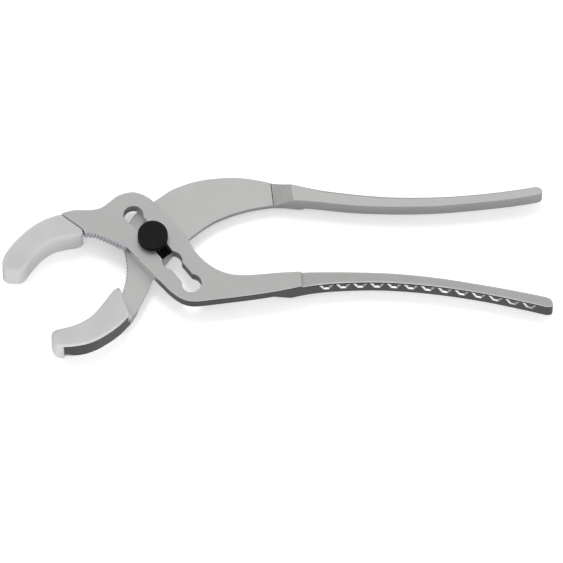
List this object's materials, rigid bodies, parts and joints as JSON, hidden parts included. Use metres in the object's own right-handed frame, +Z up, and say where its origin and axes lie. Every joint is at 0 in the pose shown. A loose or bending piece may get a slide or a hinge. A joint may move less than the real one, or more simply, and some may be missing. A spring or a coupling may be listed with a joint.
{
  "type": "siphon pliers",
  "caption": "Slip-joint siphon and connector pliers with curved handles, a push-button setting slide and white soft jaw covers.",
  "frame": {"origin": "bottom centre of the tool as it lies flat, half-way along its length", "axes": "+X from the jaws towards the handle ends, +Y towards the rear lever's handle, +Z up through the pivot pin, towards the push button"},
  "size_m": [0.254, 0.088, 0.019],
  "materials": {
    "plated_steel": "nickel plated over ground and shot-blasted forging, satin",
    "cover_plastic": "milky white soft plastic, slightly translucent, satin",
    "black_plastic": "black, satin",
    "bright_steel": "turned steel"
  },
  "bodies": {
    "front": {"front_lever": "plated_steel", "front_jaw_cover": "cover_plastic"},
    "guide": {"slide_guide": "black_plastic", "return_spring": "bright_steel"},
    "washer": {"back_washer": "bright_steel"},
    "rear": {"rear_lever": "plated_steel", "rear_jaw_cover": "cover_plastic", "pin_block": "black_plastic"},
    "button": {"push_button": "black_plastic", "pivot_pin": "bright_steel", "locking_collar": "bright_steel", "retaining_ring": "bright_steel"}
  },
  "joints": [
    {"name": "slot_slide", "type": "slide", "parent": "front", "child": "guide", "axis": [0.6195, -0.785, 0], "range_m": [-0.0145, 0.029]},
    {"name": "washer_swing", "type": "hinge", "parent": "guide", "child": "washer", "pos_m": [-0.05755, 0.01085, 0.003], "axis": [0, 0, 1], "range_deg": [-5.6, 11.1]},
    {"name": "jaw_hinge", "type": "hinge", "parent": "washer", "child": "rear", "pos_m": [-0.05755, 0.01085, 0.005], "axis": [0, 0, 1], "range_deg": [-12.5, 30]},
    {"name": "button_press", "type": "slide", "parent": "guide", "child": "button", "axis": [0, 0, -1], "range_m": [0, 0.0015], "stiffness_N_per_m": 1500, "springref_m": -0.002, "deforming": ["return_spring"]}
  ],
  "couplings": [
    {"joint": "washer_swing", "follows": "slot_slide", "rad_per_m": 6.6323}
  ]
}
